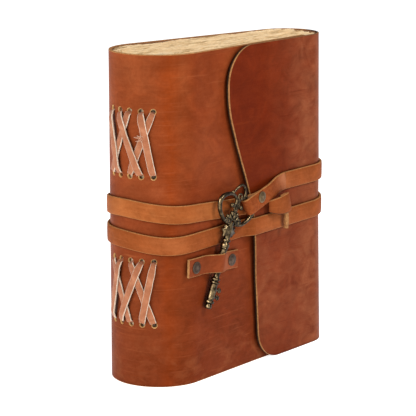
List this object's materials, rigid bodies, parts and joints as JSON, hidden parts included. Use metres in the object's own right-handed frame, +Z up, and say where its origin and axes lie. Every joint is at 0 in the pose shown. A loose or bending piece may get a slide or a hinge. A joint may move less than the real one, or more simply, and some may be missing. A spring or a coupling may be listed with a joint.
{
  "type": "diary with lock",
  "caption": "Leather-bound diary with a laced spine, closed by a wrap flap, a wound strap and an antique key that tucks under a riveted keeper.",
  "frame": {"origin": "bottom centre of the whole, on the plane the diary stands on", "axes": "+Z up the spine from tail to head, the front cover faces -Y, the fore edge points to +X"},
  "size_m": [0.1506, 0.0628, 0.18],
  "materials": {
    "cover_leather": "waxed reddish brown",
    "flap_leather": "waxed dark brown",
    "strap_leather": "waxed tan",
    "lace_leather": "suede",
    "paper": "handmade, deckle edged",
    "rivet_brass": "antique",
    "rivet_dark": "antique, dark",
    "key_brass": "antique, worn"
  },
  "bodies": {
    "book": {"spine": "cover_leather", "back_cover": "cover_leather", "upper_lacing": "lace_leather", "lower_lacing": "lace_leather", "signature_2": "paper", "signature_3": "paper", "signature_4": "paper", "signature_5": "paper", "strap": "strap_leather"},
    "fore_edge": {"fore_edge_strip": "cover_leather"},
    "flap": {"flap": "flap_leather", "strap_knot": "strap_leather"},
    "front_cover": {"front_cover": "cover_leather", "keeper": "strap_leather", "keeper_rivet_heads": "rivet_dark", "keeper_rivet_posts": "rivet_dark"},
    "first_signature": {"signature_1": "paper"},
    "key": {"key": "key_brass", "strap_rivet_head": "rivet_brass", "strap_rivet_post": "rivet_brass"}
  },
  "joints": [
    {"name": "fore_edge_fold", "type": "hinge", "parent": "book", "child": "fore_edge", "pos_m": [0.06958, 0.01247, 0], "axis": [0, 0, 1], "range_deg": [0, 84.4], "deforming": ["strap"]},
    {"name": "flap_fold", "type": "hinge", "parent": "fore_edge", "child": "flap", "pos_m": [0.06958, -0.01338, 0], "axis": [0, 0, 1], "range_deg": [0, 84.4]},
    {"name": "front_cover_hinge", "type": "hinge", "parent": "book", "child": "front_cover", "pos_m": [-0.06537, -0.01908, 0], "axis": [0, 0, -1], "range_deg": [0, 175], "deforming": ["strap", "front_cover"]},
    {"name": "first_signature_turn", "type": "hinge", "parent": "book", "child": "first_signature", "pos_m": [-0.04865, -0.0174, 0], "axis": [0, 0, -1], "range_deg": [0, 140], "deforming": ["signature_1"]},
    {"name": "key_withdraw", "type": "slide", "parent": "flap", "child": "key", "axis": [0.3629, -0.017, 0.9317], "range_m": [0, 0.031], "deforming": ["strap", "keeper"]}
  ],
  "couplings": [
    {"joint": "flap_fold", "follows": "fore_edge_fold", "ratio": 1},
    {"joint": "first_signature_turn", "follows": "front_cover_hinge", "ratio": 0.8}
  ]
}
